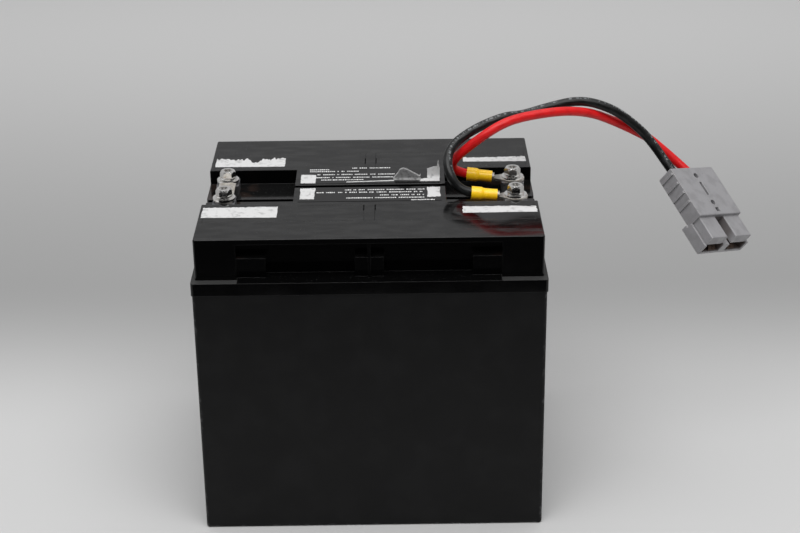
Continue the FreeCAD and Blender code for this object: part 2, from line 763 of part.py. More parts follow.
bolt = cut("bolt", fuse("bolt_blank", [head, shank]), [dish, cross_x, cross_y])
node("terminal_bolts", at_terminals("terminal_bolts", bolt, "bolt_level"))

# Washers: a flat one on each tongue and a split spring washer under each head
flat_washer = cut("flat_washer", rod("flat_outside", "flat_washer_diameter / 2", "flat_washer_thickness"),
                  [rod("flat_hole", "bolt_hole / 2", "flat_washer_thickness")])
node("flat_washers", at_terminals("flat_washers", flat_washer, "washer_level"))
spring_outside = rod("spring_outside", "spring_washer_diameter / 2", "spring_washer_thickness")
spring_hole = rod("spring_hole", "bolt_hole / 2", "spring_washer_thickness")
slit = box("slit", ("0", "spring_washer_diameter"), ("-spring_washer_slit / 2", "spring_washer_slit / 2"),
           ("0", "spring_washer_thickness"))
spring_washer = cut("spring_washer", spring_outside, [spring_hole, slit])
node("spring_washers", at_terminals("spring_washers", spring_washer, "spring_level"))

# Series link: flat bar with cut corners across the two left terminals
link_y = "(block_pitch / 2 - terminal_y)"
link = body("link")
pad(link, "link_bar", ("-terminal_x - link_width / 2", "-terminal_x + link_width / 2"),
    ("-%s - link_overhang" % link_y, link_y + " + link_overhang"), ("terminal_top", "washer_level"))
eased(link, "link_corners", "Chamfer", "Size", "link_corner",
      lambda e: upright(e, value("terminal_top"), value("washer_level")))
for place, side in (("front", "-"), ("rear", "")):
    link_hole = circle(link, "link_hole_%s_sketch" % place, "bolt_hole", "XY_Plane",
                       ("-terminal_x", side + link_y, "washer_level"))
    feature(link, "Pocket", "link_hole_" + place, link_hole, "tongue_thickness")
node("series_link", link)


def on_barrel(item, pole, start):
    """Stand a round piece on a lug's barrel axis, which leaves the ring toward -X and climbs a little."""
    bind(item, "Placement.Base.x", "-%s_lug_reach - (%s) * cos(lug_tilt * 1 deg)" % (pole, start))
    bind(item, "Placement.Base.z", "lug_axis_rise + (%s) * sin(lug_tilt * 1 deg)" % start)
    return turn(item, FreeCAD.Vector(0, -1, 0), "90 - lug_tilt")


def barrel_rod(name, pole, radius, height, start):
    """Rod on the axis of a lug's barrel."""
    return on_barrel(rod(pole + name, radius, height), pole, start)


def ring_lug(pole):
    """Tinned copper lug: a flat ring, a tongue that narrows to the barrel, and the barrel on the wire."""
    ring = rod(pole + "_lug_ring", "lug_diameter / 2", "tongue_thickness")
    tongue = doc.addObject("Part::Wedge", pole + "_lug_tongue")
    limits = {
        "Xmin": "-lug_shoulder / 2",
        "Xmax": "lug_shoulder / 2",
        "Ymin": "lug_shoulder_start",
        "Ymax": pole + "_lug_reach + sleeve_setback / 2",
        "Zmin": "0",
        "Zmax": "tongue_thickness",
        "X2min": "-lug_neck / 2",
        "X2max": "lug_neck / 2",
        "Z2min": "0",
        "Z2max": "tongue_thickness",
    }
    for prop, rule in limits.items():
        bind(tongue, prop, rule)
    turn(tongue, FreeCAD.Vector(0, 0, 1), "90")
    barrel = barrel_rod("_lug_barrel", pole, "barrel_diameter / 2", "barrel_length", "0")
    hole = rod(pole + "_lug_hole", "bolt_hole / 2", "tongue_thickness")
    return cut(pole + "_lug", fuse(pole + "_lug_blank", [ring, tongue, barrel]), [hole])


def lug_sleeve(pole):
    """Vinyl tube on a lug's barrel, flared over the end of the cable."""
    grip = "sleeve_length - sleeve_mouth_length - sleeve_flare_length"
    flare_start = "sleeve_setback + " + grip
    flare = doc.addObject("Part::Cone", pole + "_sleeve_flare")
    bind(flare, "Radius1", "sleeve_diameter / 2")
    bind(flare, "Radius2", "sleeve_mouth_diameter / 2")
    bind(flare, "Height", "sleeve_flare_length")
    outside = fuse(pole + "_sleeve_outside", [
        barrel_rod("_sleeve_grip", pole, "sleeve_diameter / 2", grip, "sleeve_setback"),
        on_barrel(flare, pole, flare_start),
        barrel_rod("_sleeve_mouth", pole, "sleeve_mouth_diameter / 2", "sleeve_mouth_length",
                   flare_start + " + sleeve_flare_length")])
    return cut(pole + "_sleeve", outside, [
        barrel_rod("_sleeve_bore", pole, "barrel_diameter / 2 + sleeve_clearance", "barrel_length", "0"),
        barrel_rod("_sleeve_entry", pole, "cable_diameter / 2 + sleeve_clearance", "sleeve_length",
                   "barrel_length")])


# Ring lugs and their sleeves, turned a little on their bolts as they were tightened
leads = {}
for pole, side in (("positive", ""), ("negative", "-")):
    for piece, source in (("ring_lug", ring_lug(pole)), ("lug_sleeve", lug_sleeve(pole))):
        item = copy_at("%s_%s" % (pole, piece), source, "terminal_x", side + link_y, "terminal_top")
        turn(item, FreeCAD.Vector(0, 0, -1), pole + "_lug_turn")
        node("%s_%s" % (pole, piece), item)
        leads[pole] = item

# Connector housing: flat two-pole moulding with ribbed sides. The hood at the mating end hangs below the
# body, so that the tongues of a second housing turned over fit into it.
housing = body("housing")
both = "-housing_top", "housing_top"
hood = ("-housing_length - hood_length", "-housing_length")
pad(housing, "shell", ("-housing_half", "housing_half"), ("-housing_length", "0"), both)
eased(housing, "rear_bevels", "Chamfer", "Size", "housing_bevel",
      lambda e: upright(e, -value("housing_top"), value("housing_top")) and e.BoundBox.YMax > -1e-6)
eased(housing, "shell_edges", "Fillet", "Radius", "housing_edge",
      lambda e: level(e, value("housing_top")) or level(e, -value("housing_top")))
last_finger = "-finger_start - 3 * finger_pitch"
finger_levels = ("-housing_top + housing_edge", "housing_top - housing_edge")
for side, outside, inside in (("left", "-housing_half", "-housing_half + finger_depth"),
                              ("right", "housing_half - finger_depth", "housing_half")):
    limits = ("-housing_half - 1", inside) if side == "left" else (outside, "housing_half + 1")
    pocket(housing, "finger_panel_" + side, limits, ("-housing_length", "1"), both)
    finger_y = (last_finger + " - finger_width", last_finger)
    finger = pad(housing, "finger_" + side, (outside, inside), finger_y, finger_levels)
    repeated(housing, "fingers_" + side, finger, 4, "finger_pitch", "V_Axis")
pad(housing, "hood_back", ("-housing_half", "housing_half"),
    ("-housing_length - hood_wall / 2", "-housing_length + hood_wall / 2"), ("hood_bottom", "-housing_top"))
pad(housing, "hood_base", ("-housing_half", "housing_half"), hood,
    ("hood_bottom", "hood_bottom + hood_floor"))
pad(housing, "hood_web", ("-web_width / 2", "web_width / 2"), hood, ("hood_bottom", "tongue_bottom"))
for side, sign in (("left", "-"), ("right", "")):
    cheek = ("housing_half - cheek_thickness", "housing_half")
    reach = ("tongue_start", "tongue_start + tongue_width")
    entry = ("entry_start", "entry_start + entry_width")
    slot_half = "(blade_width / 2 + blade_clearance)"
    slot = ("pole_offset - " + slot_half, "pole_offset + " + slot_half)
    if sign:
        cheek, reach, entry, slot = [("-(%s)" % s[1], "-(%s)" % s[0]) for s in (cheek, reach, entry, slot)]
    pad(housing, "cheek_" + side, cheek, hood, ("hood_bottom", "hood_bottom + cheek_height"))
    pad(housing, "tongue_" + side, reach, ("-housing_length - tongue_length", "-housing_length"),
        ("tongue_bottom", "tongue_top"))
    pocket(housing, "entry_" + side, entry, ("-entry_depth", "1"),
           ("-entry_height / 2", "entry_height / 2"))
    pocket(housing, "blade_slot_" + side, slot, ("-housing_length", "-blade_start + blade_clearance"),
           ("blade_bottom - blade_clearance", "tongue_bottom"))
eased(housing, "tongue_edges", "Fillet", "Radius", "housing_edge",
      lambda e: level(e, value("tongue_top")) and e.BoundBox.YMin < -value("housing_length") - 1)
for place in ("rear", "front"):
    eye = circle(housing, "eye_%s_sketch" % place, "eye_diameter", "XY_Plane",
                 ("0", "-eye_" + place, "housing_top"))
    feature(housing, "Pocket", "eye_%s_hole" % place, eye, "eye_depth")
pocket(housing, "groove", ("-groove_width / 2", "groove_width / 2"),
       ("-groove_start - groove_length", "-groove_start"), ("housing_top - eye_depth", "housing_top"))
pocket(housing, "pin_recess", ("-pin_hole / 2", "pin_hole / 2"),
       ("-pin_hole_start - pin_hole", "-pin_hole_start"), ("housing_top - eye_depth", "housing_top"))


def on_connector(item):
    """Place a piece of the connector by the connector's own frame."""
    angles = [value("connector_" + angle) for angle in ("yaw", "pitch", "roll")]
    item.Placement.Rotation = FreeCAD.Rotation(*angles)
    bind(item, "Placement.Base.x", "terminal_x + connector_x")
    bind(item, "Placement.Base.y", "connector_y")
    bind(item, "Placement.Base.z", "terminal_top + connector_z")
    return item


node("connector_housing", on_connector(housing))

# Contacts: silver-plated copper, a barrel for the wire and a flat blade under the tongue of the housing
blade = box("blade", ("pole_offset - blade_width / 2", "pole_offset + blade_width / 2"),
            ("-blade_start - blade_length", "-blade_start"), ("blade_bottom", "blade_top"))
contact_rod = rod("contact_rod", "contact_barrel / 2", "contact_barrel_length", "pole_offset",
                  "-contact_barrel_start", "0")
turn(contact_rod, FreeCAD.Vector(1, 0, 0), "90")
contact = fuse("contact", [blade, contact_rod])
other_contact = mirrored("contact_left", contact, FreeCAD.Vector(1, 0, 0))
node("connector_positive_contact", on_connector(group("contact_right_place", [contact])))
node("connector_negative_contact", on_connector(group("contact_left_place", [other_contact])))

# Leaf springs: arched steel strips that press the blades against the tongues
leaf_middle = "-leaf_front + leaf_length / 2"
leaf_rods = []
for name, radius in (("leaf_outer", "leaf_radius"), ("leaf_inner", "leaf_radius - leaf_thickness")):
    leaf_rod = rod(name, radius, "leaf_width", "pole_offset - leaf_width / 2", leaf_middle,
                   "blade_bottom - leaf_radius")
    leaf_rods.append(turn(leaf_rod, FreeCAD.Vector(0, 1, 0), "90"))
leaf = doc.addObject("Part::Common", "leaf")
leaf.Base = cut("leaf_ring", leaf_rods[0], [leaf_rods[1]])
leaf.Tool = box("leaf_span", ("pole_offset - leaf_width / 2", "pole_offset + leaf_width / 2"),
                ("-leaf_front", "-leaf_front + leaf_length"),
                ("blade_bottom - leaf_radius / 2", "blade_bottom"))
other_leaf = mirrored("leaf_left", leaf, FreeCAD.Vector(1, 0, 0))
node("connector_springs", on_connector(group("connector_springs", [leaf, other_leaf])))

doc.recompute()


def cable(label, pole, side, entry, bends):
    """Round cable from the end of a lug's barrel through the bends to the end of a contact's barrel.

    The bends are points measured from the right-hand terminals; straight runs between the points are
    joined by tangent arcs that take 45 hundredths of the shorter run at each point. The tube runs on a
    little and is cut off square with the contact's barrel.
    """
    tilt = math.radians(value("lug_tilt"))
    aim = FreeCAD.Vector(-math.cos(tilt), 0, math.sin(tilt))
    foot = FreeCAD.Vector(-value(pole + "_lug_reach"), 0, value("lug_axis_rise"))
    place = leads[pole].Placement
    points = [place.multVec(foot + aim * value("barrel_length")),
              place.multVec(foot + aim * (value("barrel_length") + value("cable_straight")))]
    for x, y, z in bends:
        points.append(FreeCAD.Vector(value("terminal_x") + x, y, value("terminal_top") + z))
    barrel_end = (side * value("pole_offset"), -value("contact_barrel_start"), 0)
    for at in (entry, barrel_end):
        points.append(housing.Placement.multVec(FreeCAD.Vector(*at)))
    edges = []
    radii = []
    last = points[0]
    for before, here, after in zip(points, points[1:], points[2:]):
        back = (before - here).normalize()
        ahead = (after - here).normalize()
        reach = 0.45 * min(before.distanceToPoint(here), here.distanceToPoint(after))
        half_turn = (math.pi - back.getAngle(ahead)) / 2
        radius = reach / math.tan(half_turn)
        inward = (back + ahead).normalize()
        mid = here + inward * (radius / math.cos(half_turn) - radius)
        edges.append(Part.LineSegment(last, here + back * reach).toShape())
        edges.append(Part.Arc(here + back * reach, mid, here + ahead * reach).toShape())
        radii.append(radius)
        last = here + ahead * reach
    overrun = (points[-1] - points[-2]).normalize() * (value("cable_diameter") / 2)
    edges.append(Part.LineSegment(last, points[-1] + overrun).toShape())
    path = Part.Wire(edges)
    start = (points[1] - points[0]).normalize()
    section = Part.Wire(Part.Circle(points[0], start, value("cable_diameter") / 2).toShape())
    tube = path.makePipeShell([section], True, False)
    reach = value("housing_width")
    stop_corner = FreeCAD.Vector(-reach, -reach - value("contact_barrel_start"), -reach)
    stop = Part.makeBox(2 * reach, reach, 2 * reach, stop_corner)
    stop.Placement = housing.Placement
    item = doc.addObject("Part::Feature", label)
    item.Shape = tube.cut(stop)
    item.Placement = FreeCAD.Placement()
    area = math.pi * value("cable_diameter") ** 2 / 4
    print(label, "length", round(path.Length - overrun.Length, 1), "radii", [round(r, 1) for r in radii],
          "volume ratio", round(tube.Volume / (area * path.Length), 4))
    return node(label, item)


# Cables: stiff stranded leads that loop back over the lids and hold the connector in the air
cable("red_cable", "positive", 1, (5.1, 2, -1.2), (
    (-35, 8, 12), (-17.5, 4, 28), (-5, 8, 34.5), (7.5, 14, 36), (27.5, 20.5, 36.5), (43.5, 30, 32),
    (57, 36, 25), (72, 38, 17), (79, 39, 12.5)))
cable("black_cable", "negative", -1, (-9.8, 2, 0), (
    (-36, -10, 13), (-35.5, 2.5, 22), (-22.5, 10.5, 29.5), (-5, 16.5, 35), (5.5, 22.5, 33.5),
    (19, 27.5, 36), (37.5, 31.5, 39), (54, 31, 34.5), (66.5, 32.5, 25.5), (77, 32, 15.5)))

doc.recompute()

# Each object is checked, then each sub-part is written to a file of its own
faults = [o.Name for o in doc.Objects if "Invalid" in o.State or "Error" in o.State]
if faults:
    raise ValueError("objects with faults: " + ", ".join(faults))
os.makedirs("parts", exist_ok=True)
for item in nodes:
    shape = item.Shape
    if shape.isNull() or not shape.isValid() or not shape.Solids:
        raise ValueError("bad shape: " + item.Label)
    solids = shape.Solids
    whole = solids[0] if len(solids) == 1 else Part.makeCompound(solids)
    whole.exportStep("parts/%s.step" % item.Label)
    span = shape.BoundBox
    print(item.Label, len(solids), "solids", round(shape.Volume / 1000, 3), "cm3",
          [round(v, 2) for v in (span.XMin, span.XMax, span.YMin, span.YMax, span.ZMin, span.ZMax)])
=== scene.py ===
import math

import bpy
import numpy as np
from mathutils import Matrix, Vector


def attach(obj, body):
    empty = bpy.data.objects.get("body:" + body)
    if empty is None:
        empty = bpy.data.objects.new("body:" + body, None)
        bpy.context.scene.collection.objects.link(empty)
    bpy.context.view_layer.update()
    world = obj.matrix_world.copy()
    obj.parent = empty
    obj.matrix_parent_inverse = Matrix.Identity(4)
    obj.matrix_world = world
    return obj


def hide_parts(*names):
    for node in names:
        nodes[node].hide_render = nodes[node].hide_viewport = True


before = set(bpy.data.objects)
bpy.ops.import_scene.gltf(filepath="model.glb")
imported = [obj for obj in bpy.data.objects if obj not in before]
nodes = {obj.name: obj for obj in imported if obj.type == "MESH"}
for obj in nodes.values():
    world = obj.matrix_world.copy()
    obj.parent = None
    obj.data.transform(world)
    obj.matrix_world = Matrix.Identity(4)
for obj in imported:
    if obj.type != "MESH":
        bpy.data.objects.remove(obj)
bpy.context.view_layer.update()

# Containers: two equal boxes of black ABS, injection moulded with a fine matt grain and stood long side
# to long side. Handling has rubbed the outer corners and the foot grey in places, and a faint dust clings.
mm = 0.001


def feed(tree, socket, value):
    """Sets a socket, or links it where the value is another node's output."""
    if isinstance(value, bpy.types.NodeSocket):
        tree.links.new(value, socket)
    else:
        socket.default_value = value


def put(tree, kind, inputs, **settings):
    """Adds a shader node with these properties, and feeds its inputs by name or number."""
    made = tree.nodes.new("ShaderNode" + kind)
    for key, value in settings.items():
        setattr(made, key, value)
    for key, value in inputs.items():
        feed(tree, made.inputs[key], value)
    return made


def calc(tree, operation, first, second=0.0, third=0.0):
    """One sum, product or other operation on two or three numbers."""
    return put(tree, "Math", {0: first, 1: second, 2: third}, operation=operation).outputs[0]


def both(tree, first, second):
    """Product of two masks, or of a mask and a share."""
    return calc(tree, "MULTIPLY", first, second)


def either(tree, first, second):
    """Greater of two masks."""
    return calc(tree, "MAXIMUM", first, second)


def fade(tree, value, low, high):
    """Smooth step from 0 at the value low to 1 at the value high, which may be the lesser of the two."""
    inputs = {"Value": value, "From Min": low, "From Max": high}
    return put(tree, "MapRange", inputs, interpolation_type="SMOOTHSTEP").outputs["Result"]


def blend(tree, share, first, second):
    """Mix of two colours by a share from 0 to 1."""
    return put(tree, "Mix", {0: share, 6: first, 7: second}, data_type="RGBA").outputs[2]


def axes(tree):
    """The three object coordinates, each as a number, in metres."""
    spot = put(tree, "TexCoord", {}).outputs["Object"]
    return put(tree, "SeparateXYZ", {0: spot}).outputs


def speckle(tree, size, detail=2.0, stretch=(1, 1, 1), at=None):
    """Cloudy noise whose clouds are about one size across, stretched along the axes."""
    spot = at or put(tree, "TexCoord", {}).outputs["Object"]
    laid = put(tree, "Mapping", {"Vector": spot, "Scale": [1 / (size * s) for s in stretch]})
    noise = put(tree, "TexNoise", {"Vector": laid.outputs[0], "Scale": 1.0, "Detail": detail})
    return noise.outputs["Fac"]


def varied(tree, share, low, high):
    """Number that runs from low to high as a share runs from 0 to 1."""
    return calc(tree, "MULTIPLY_ADD", share, high - low, low)


def relief(tree, height, depth, rounding=0.0):
    """Bump of a given depth from a height that runs from 0 to 1. Edges can look rounded to a radius."""
    bump = put(tree, "Bump", {"Strength": 1.0, "Distance": depth, "Height": height})
    if rounding:
        feed(tree, bump.inputs["Normal"], put(tree, "Bevel", {"Radius": rounding}).outputs["Normal"])
    return bump.outputs["Normal"]


def new_finish(name):
    """An empty material, its node tree and its main shader."""
    material = bpy.data.materials.new(name)
    material.use_nodes = True
    tree = material.node_tree
    return material, tree, tree.nodes["Principled BSDF"]


def finish(tree, shader, colour, roughness, normal):
    """Feeds colour, roughness and normal into a material's main shader."""
    feed(tree, shader.inputs["Base Color"], colour)
    feed(tree, shader.inputs["Roughness"], roughness)
    feed(tree, shader.inputs["Normal"], normal)


def dress(material, *names):
    """Gives a material to nodes of the frame."""
    for name in names:
        nodes[name].data.materials.clear()
        nodes[name].data.materials.append(material)


case_black = (0.0024, 0.0024, 0.0026, 1)
case_rubbed = (0.060, 0.060, 0.062, 1)
corner_rub_x = (88.0 * mm, 89.8 * mm)
corner_rub_y = (74.6 * mm, 76.6 * mm)
foot_rub_z = (1.8 * mm, 0.3 * mm)
scuff_share = 0.12
case_dust_share = 0.035
matt_case, tree, shader = new_finish("matt_case_plastic")
x, y, z = axes(tree)
corner_x = fade(tree, calc(tree, "ABSOLUTE", x), *corner_rub_x)
corner_y = fade(tree, calc(tree, "ABSOLUTE", y), *corner_rub_y)
edge = either(tree, both(tree, corner_x, corner_y), fade(tree, z, *foot_rub_z))
chip = both(tree, edge, fade(tree, speckle(tree, 4 * mm, 6), 0.53, 0.66))
scuff = fade(tree, speckle(tree, 0.7 * mm, 3, (45, 2, 1)), 0.68, 0.82)
wear = either(tree, chip, both(tree, scuff, scuff_share))
dust = fade(tree, speckle(tree, 14 * mm, 6), 0.40, 0.72)
wear = either(tree, wear, both(tree, dust, case_dust_share))
shader.inputs["Specular IOR Level"].default_value = 0.21
finish(tree, shader, blend(tree, wear, case_black, case_rubbed),
       varied(tree, speckle(tree, 22 * mm, 4), 0.34, 0.56),
       relief(tree, speckle(tree, 0.4 * mm, 2), 0.012 * mm))
dress(matt_case, "front_container", "rear_container")

# Positive plates: lead grids filled with paste that has formed to brown lead dioxide, four to a cell, cast
# together by a strap. The paste dries with a fine crazed skin.
paste_brown = (0.060, 0.026, 0.015, 1)
paste_dark = (0.028, 0.013, 0.009, 1)
brown_paste, tree, shader = new_finish("positive_paste")
craze = put(tree, "TexVoronoi", {"Scale": 1 / (2.2 * mm)}, feature="DISTANCE_TO_EDGE").outputs["Distance"]
crack = fade(tree, craze, 0.05, 0.01)
finish(tree, shader, blend(tree, either(tree, crack, speckle(tree, 6 * mm, 4)), paste_brown, paste_dark),
       varied(tree, speckle(tree, 1 * mm, 3), 0.75, 0.95),
       relief(tree, fade(tree, craze, 0.0, 0.12), 0.10 * mm))
dress(brown_paste, "front_positive_plates", "rear_positive_plates")

# Negative plates, intercell welds and terminal posts: soft grey lead, spongy in the plates and cast in the
# straps, welds and posts. It tarnishes in blotches and takes scratches.
lead_clean = (0.30, 0.30, 0.31, 1)
lead_tarnished = (0.11, 0.11, 0.12, 1)
cast_lead, tree, shader = new_finish("cast_lead")
shader.inputs["Metallic"].default_value = 1
scratch = fade(tree, speckle(tree, 0.15 * mm, 2, (12, 1, 3)), 0.62, 0.72)
tarnish = fade(tree, speckle(tree, 4 * mm, 5), 0.38, 0.66)
finish(tree, shader, blend(tree, tarnish, lead_clean, lead_tarnished),
       varied(tree, calc(tree, "SUBTRACT", tarnish, scratch), 0.40, 0.70),
       relief(tree, either(tree, speckle(tree, 0.9 * mm, 4), scratch), 0.03 * mm))
for block in ("front_", "rear_"):
    dress(cast_lead, block + "negative_plates", block + "intercell_welds", block + "positive_terminal",
          block + "negative_terminal")

# Separator mats: white felt of fine glass fibre folded round each positive plate, which holds the acid.
# The fibres lie every way in the sheet and darken a little where they are damp.
mat_white = (0.74, 0.74, 0.71, 1)
mat_damp = (0.52, 0.51, 0.46, 1)
glass_felt, tree, shader = new_finish("glass_felt")
fibre = either(tree, speckle(tree, 0.12 * mm, 2, (1, 14, 3)), speckle(tree, 0.12 * mm, 2, (1, 3, 14)))
finish(tree, shader, blend(tree, fade(tree, speckle(tree, 12 * mm, 3), 0.45, 0.65), mat_white, mat_damp),
       varied(tree, fibre, 0.80, 0.98), relief(tree, fibre, 0.05 * mm))
dress(glass_felt, "front_separator_mats", "rear_separator_mats")

# Lids and vent strips: deep black ABS, polished in the mould, welded to the containers by their skirts.
# Both ends of the skirt's ledge are painted pale, a painted highlight mixed with some dust, and dust lies
# in motes and streaks on top. Wiping has left hairlines, and the wells are stained brown round the
# terminals.
lid_black = (0.0011, 0.0011, 0.0012, 1)
lid_dust_and_highlight = (0.075, 0.075, 0.074, 1)
lid_stain = (0.014, 0.008, 0.006, 1)
ledge_end_x = (66.6 * mm, 67.4 * mm)
ledge_z = (145.4 * mm, 144.4 * mm)
crown_z = (160.0 * mm, 164.0 * mm)
well_top_z = (159.0 * mm, 158.3 * mm)
well_floor_z = (146.0 * mm, 147.0 * mm)
well_end_x = (58.0 * mm, 66.0 * mm)
mote_share = 0.45
haze_share = 0.14
well_dust_share = 0.07
gloss_lid, tree, shader = new_finish("gloss_lid_plastic")
x, _, z = axes(tree)
out_x = calc(tree, "ABSOLUTE", x)
facing = put(tree, "NewGeometry", {}).outputs["Normal"]
upward = fade(tree, put(tree, "SeparateXYZ", {0: facing}).outputs[2], 0.6, 0.95)
# Painted highlight with some dust: the skirt's ledge is painted pale at both ends and only faintly within
# the grip recess.
ledge = varied(tree, fade(tree, out_x, *ledge_end_x), 0.03, 1.0)
ledge = both(tree, ledge, fade(tree, z, *ledge_z))
ledge_dust_and_highlight = both(tree, ledge, varied(tree, speckle(tree, 3 * mm, 5), 0.34, 0.56))
mote = both(tree, fade(tree, speckle(tree, 0.8 * mm, 1), 0.71, 0.78), mote_share)
haze = both(tree, fade(tree, speckle(tree, 4 * mm, 6, (3, 1, 1)), 0.36, 0.70), haze_share)
haze = both(tree, haze, fade(tree, z, *crown_z))
well = both(tree, fade(tree, z, *well_top_z), fade(tree, z, *well_floor_z))
haze = either(tree, haze, both(tree, well, well_dust_share))
dust_and_highlight = both(tree, upward, either(tree, ledge_dust_and_highlight, either(tree, mote, haze)))
well_end = both(tree, well, fade(tree, out_x, *well_end_x))
stain = both(tree, both(tree, well_end, upward), fade(tree, speckle(tree, 7 * mm, 4), 0.44, 0.62))
hairline = either(tree, speckle(tree, 0.1 * mm, 1, (90, 1, 1)), speckle(tree, 0.1 * mm, 1, (1, 60, 1)))
hairline = fade(tree, hairline, 0.70, 0.80)
smear = speckle(tree, 16 * mm, 4)
gloss = either(tree, varied(tree, smear, 0.02, 0.16), both(tree, hairline, 0.26))
gloss = either(tree, gloss, both(tree, dust_and_highlight, 1.4))
shade = blend(tree, stain, lid_black, lid_stain)
shader.inputs["Specular IOR Level"].default_value = 0.25
finish(tree, shader, blend(tree, dust_and_highlight, shade, lid_dust_and_highlight), gloss,
       relief(tree, speckle(tree, 8 * mm, 1), 0.010 * mm, 0.4 * mm))
dress(gloss_lid, "front_lid", "rear_lid", "front_vent_covers", "rear_vent_covers")

# Valve caps and terminal seals: soft black rubber, moulded and pushed on. It has bloomed grey in patches
# where the plasticiser has come out.
rubber_black = (0.010, 0.010, 0.010, 1)
rubber_bloom = (0.050, 0.050, 0.052, 1)
soft_rubber, tree, shader = new_finish("valve_rubber")
bloom = fade(tree, speckle(tree, 2 * mm, 5), 0.48, 0.70)
finish(tree, shader, blend(tree, bloom, rubber_black, rubber_bloom), varied(tree, bloom, 0.55, 0.85),
       relief(tree, speckle(tree, 0.25 * mm, 3), 0.02 * mm))
for block in ("front_", "rear_"):
    dress(soft_rubber, block + "valve_caps", block + "terminal_seals")

# Joining tape: two strips of dark closed-cell foam, sticky on both sides, pressed between the containers.
# Cut cells give the foam a fine pitted face.
foam_dark = (0.030, 0.030, 0.031, 1)
foam_light = (0.075, 0.075, 0.077, 1)
foam, tree, shader = new_finish("foam_tape")
cells = put(tree, "TexVoronoi", {"Scale": 1 / (0.5 * mm)}, feature="F1").outputs["Distance"]
finish(tree, shader, blend(tree, fade(tree, cells, 0.2, 0.7), foam_dark, foam_light),
       varied(tree, speckle(tree, 2 * mm, 3), 0.80, 0.95), relief(tree, cells, 0.10 * mm))
dress(foam, "joining_tape")

# Top labels: black polyester film stuck on the lids between the wells. It has a softer gloss than the lid
# and fine creases from peeling.
film_black = (0.0030, 0.0030, 0.0032, 1)
film_worn = (0.020, 0.020, 0.021, 1)
film, tree, shader = new_finish("label_film")
crease = fade(tree, speckle(tree, 0.25 * mm, 2, (30, 3, 1)), 0.66, 0.78)
rubbed = both(tree, crease, fade(tree, speckle(tree, 9 * mm, 3), 0.45, 0.62))
shader.inputs["Specular IOR Level"].default_value = 0.25
finish(tree, shader, blend(tree, rubbed, film_black, film_worn),
       varied(tree, speckle(tree, 5 * mm, 4), 0.05, 0.22),
       relief(tree, speckle(tree, 4 * mm, 3), 0.02 * mm))
dress(film, "front_top_label", "rear_top_label")

# Printing on the lids: rows of fine white ink, shown as plain dashes with wider gaps between groups. The
# ink stands a few hundredths of a millimetre proud and is thin in places.
ink_height = 0.03
ink_width = 1.5
bar_lengths = (0.35, 0.95)
gap_lengths = (0.25, 0.4)
wide_gap_lengths = (1.2, 1.7)
wide_gap_chance = 0.16
lid_level = 166.0
film_level = 166.15


def new_piece(name, points, faces):
    """Object at the origin with a mesh of points in millimetres."""
    mesh = bpy.data.meshes.new(name)
    mesh.from_pydata((np.asarray(points) * mm).tolist(), [], np.asarray(faces).tolist())
    made = bpy.data.objects.new(name, mesh)
    bpy.context.scene.collection.objects.link(made)
    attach(made, "root")
    return made


def printed_rows(name, rows, seed):
    """Closed flat bars in rows. Each row is a running sum of random bar and gap lengths, with a wide gap
    now and then, cut off at the row's end; a bar is a box between its two ends along x."""
    rng = np.random.default_rng(seed)
    spans = []
    for start, end, middle, level in rows:
        count = int((end - start) / (bar_lengths[0] + gap_lengths[0]))
        bars = rng.uniform(*bar_lengths, count)
        wide = rng.random(count) < wide_gap_chance
        wide_gaps = rng.uniform(*wide_gap_lengths, count)
        gaps = np.where(wide, wide_gaps, rng.uniform(*gap_lengths, count))
        first = start + np.cumsum(bars + gaps) - bars - gaps
        tall = ink_width * rng.uniform(0.75, 1.0, count)
        row = np.stack([first, first + bars, middle - tall / 2, middle + tall / 2,
                        np.full(count, level), np.full(count, level + ink_height)], axis=1)
        spans.append(row[first + bars < end])
    spans = np.concatenate(spans)
    pick = np.array([(0, 2, 4), (1, 2, 4), (1, 3, 4), (0, 3, 4),
                     (0, 2, 5), (1, 2, 5), (1, 3, 5), (0, 3, 5)])
    sides = np.array([(3, 2, 1, 0), (4, 5, 6, 7), (0, 1, 5, 4),
                      (1, 2, 6, 5), (2, 3, 7, 6), (3, 0, 4, 7)])
    corners = spans[:, pick].reshape(-1, 3)
    faces = (np.arange(len(spans))[:, None, None] * 8 + sides).reshape(-1, 4)
    return new_piece(name, corners, faces)


front_rows = [
    (-13.4, 29.4, -6.7, film_level), (-28.4, 29.4, -10.3, film_level), (5.4, 29.3, -14.6, film_level),
    (-12.4, 29.2, -18.4, film_level), (21.9, 34.4, -22.0, film_level)]
rear_rows = [
    (-10.0, 12.4, 26.4, lid_level), (-33.3, -21.0, 24.4, lid_level), (-33.2, -6.0, 21.2, film_level),
    (-28.9, 14.2, 16.4, film_level), (-29.3, 14.2, 12.0, film_level), (-26.6, -3.0, 8.4, film_level)]
ink_white = (0.80, 0.80, 0.80, 1)
ink_thin = (0.40, 0.40, 0.40, 1)
ink, tree, shader = new_finish("white_ink")
finish(tree, shader, blend(tree, fade(tree, speckle(tree, 0.5 * mm, 3), 0.42, 0.70), ink_white, ink_thin),
       varied(tree, speckle(tree, 1 * mm, 2), 0.35, 0.60),
       relief(tree, speckle(tree, 0.2 * mm, 2), 0.01 * mm))
for block, rows, seed in (("front", front_rows, 3), ("rear", rear_rows, 8)):
    print_rows = printed_rows(block + "_print", rows, seed)
    print_rows.data.materials.append(ink)

# Label remnants: white paper backing left on the lids where strips and squares of the label were torn
# away. The torn edges are ragged and feather out, and on the rear block one corner still stands up.
paper_thickness = 0.12


def torn_edge(count, seed):
    """Ragged line between -1 and 1: straight runs between random knots at three spacings, added up."""
    rng = np.random.default_rng(seed)
    line = np.zeros(count)
    for spacing, share in ((16, 0.2), (4, 0.4), (2, 0.4)):
        knots = rng.uniform(-1, 1, count // spacing + 2)
        line += share * np.interp(np.arange(count) / spacing, np.arange(len(knots)), knots)
    return line


